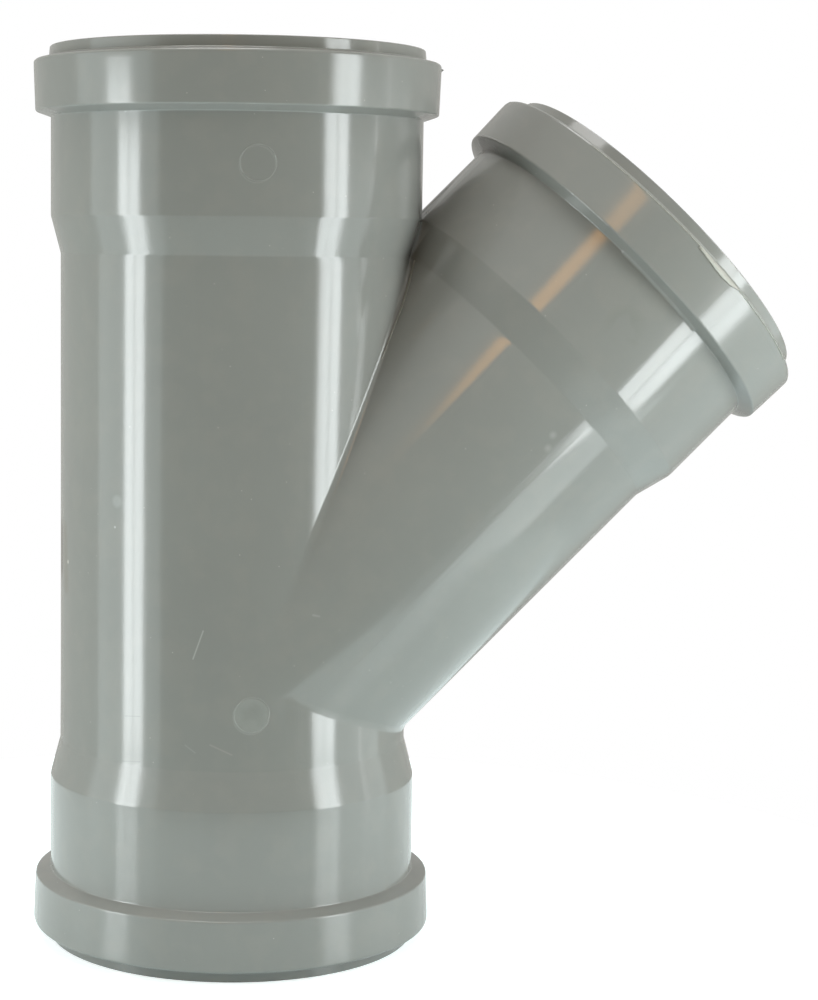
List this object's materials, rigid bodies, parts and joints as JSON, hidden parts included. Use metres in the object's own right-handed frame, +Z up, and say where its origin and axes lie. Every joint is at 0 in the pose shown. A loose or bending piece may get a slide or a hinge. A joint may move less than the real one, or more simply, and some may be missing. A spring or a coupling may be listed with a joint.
{
  "type": "lateral wye pipe fitting",
  "caption": "Grey plastic waste pipe fitting: a straight run with an equal branch leaning off it at 45 degrees, each mouth a collared push-fit socket with a ring seal.",
  "frame": {"origin": "on the run's axis at the lower socket's pipe stop", "axes": "+Z up along the run to the upper socket, +X to the side that the branch leans to, Y across the fitting's plane of symmetry"},
  "size_m": [0.2412, 0.1276, 0.2825],
  "materials": {
    "grey_pvc": "injection-moulded rigid PVC, semi-gloss",
    "black_rubber": "moulded rubber, matt"
  },
  "bodies": {
    "root": {"wye_body": "grey_pvc", "lower_ring_seal": "black_rubber", "upper_ring_seal": "black_rubber", "branch_ring_seal": "black_rubber"}
  },
  "joints": []
}
